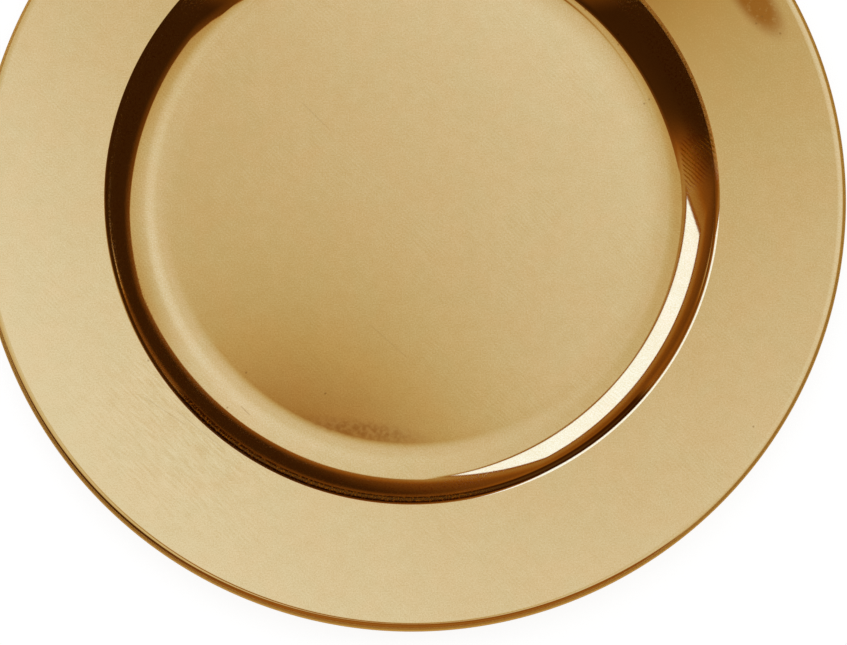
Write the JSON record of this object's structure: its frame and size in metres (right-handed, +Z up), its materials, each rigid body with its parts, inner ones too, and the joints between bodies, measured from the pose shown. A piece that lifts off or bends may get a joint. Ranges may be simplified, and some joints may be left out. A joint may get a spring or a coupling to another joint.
{
  "type": "charger plate",
  "caption": "Round under-plate with a flat sunken well, a sharp crease, a broad flat flange and a turned-down lip, in mirror gold.",
  "frame": {"origin": "centre of the plate, on the face that the foot ring rests on", "axes": "+Z up along the plate's axis, out of the well; +X and +Y are equal, since the plate is round"},
  "size_m": [0.33, 0.33, 0.0202],
  "materials": {
    "moulded_back": "satin",
    "gold_face": "polished"
  },
  "bodies": {
    "root": {"plate_body": "moulded_back", "gold_face_coat": "gold_face"}
  },
  "joints": []
}
